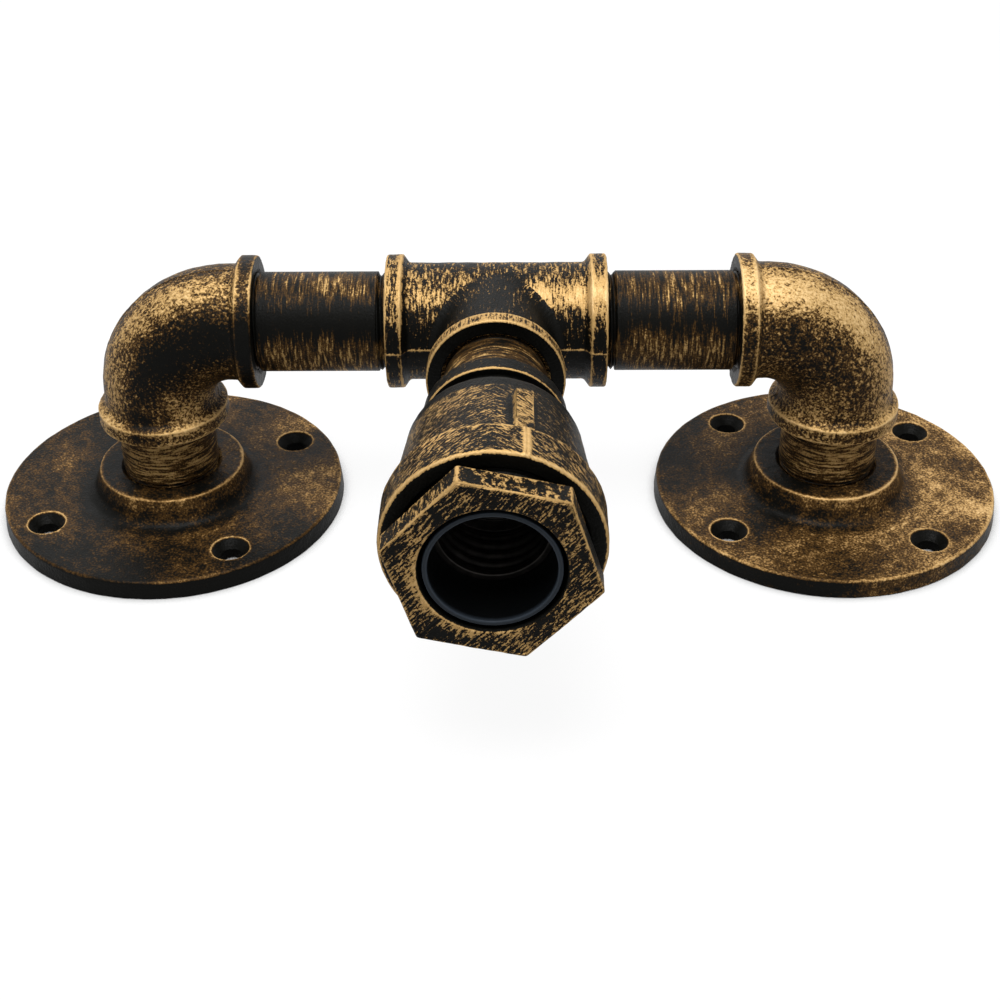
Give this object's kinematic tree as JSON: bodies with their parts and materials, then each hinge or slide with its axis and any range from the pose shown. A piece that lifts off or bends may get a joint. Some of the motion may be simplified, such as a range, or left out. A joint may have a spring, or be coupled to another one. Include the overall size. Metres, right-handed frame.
{
  "type": "industrial pipe wall light",
  "caption": "Wall light of threaded pipe fittings: two round floor flanges carry a horizontal pipe with a tee, whose forward branch ends in a bell reducer, hexagon bush and lampholder.",
  "frame": {"origin": "on the mounting plane, midway between the two flanges", "axes": "+Z out from the wall, the horizontal pipes along X, the lampholder points to -Y"},
  "size_m": [0.2846, 0.1601, 0.0834],
  "materials": {
    "cast_fitting": "black paint dry-brushed with antique bronze",
    "pipe": "black paint brushed round with antique bronze",
    "holder_black": "black phenolic moulding, satin",
    "holder_insert": "dark heat-proof moulding",
    "contact_metal": "dull rolled brass",
    "plated_steel": "zinc plated",
    "cable_sheath": "black flexible sheath",
    "core_brown": "brown insulation",
    "core_blue": "blue insulation"
  },
  "bodies": {
    "frame": {"left_leg_nipple": "pipe", "right_leg_nipple": "pipe", "left_elbow": "cast_fitting", "right_elbow": "cast_fitting", "left_pipe": "pipe", "right_pipe": "pipe", "supply_cable": "cable_sheath"},
    "left_flange": {"left_flange": "cast_fitting"},
    "right_flange": {"right_flange": "cast_fitting"},
    "head": {"tee": "cast_fitting", "branch_nipple": "pipe", "reducer": "cast_fitting", "hex_bush": "cast_fitting", "holder_skirt": "holder_black", "holder_cap": "holder_black", "contact_base": "holder_insert", "screw_shell": "contact_metal", "terminal_screws": "contact_metal", "fixing_tube": "plated_steel", "fixing_disc": "plated_steel", "fixing_washer": "plated_steel", "fixing_nut": "plated_steel", "grub_screw": "plated_steel", "head_cable": "cable_sheath", "live_core": "core_brown", "neutral_core": "core_blue"},
    "contact": {"centre_contact": "contact_metal"}
  },
  "joints": [
    {"name": "head_tilt", "type": "hinge", "parent": "frame", "child": "head", "pos_m": [0, 0, 0.0575], "axis": [-1, 0, 0], "range_deg": [-10, 90]},
    {"name": "left_flange_turn", "type": "hinge", "parent": "frame", "child": "left_flange", "pos_m": [-0.09375, 0, 0.006], "axis": [0, 0, 1], "range_deg": [-45, 45]},
    {"name": "right_flange_turn", "type": "hinge", "parent": "frame", "child": "right_flange", "pos_m": [0.09375, 0, 0.006], "axis": [0, 0, 1], "range_deg": [-45, 45]},
    {"name": "contact_press", "type": "hinge", "parent": "head", "child": "contact", "pos_m": [0.009, -0.07705, 0.0575], "axis": [0, 0, -1], "range_deg": [0, 9], "stiffness_Nm_per_rad": 0.25}
  ]
}
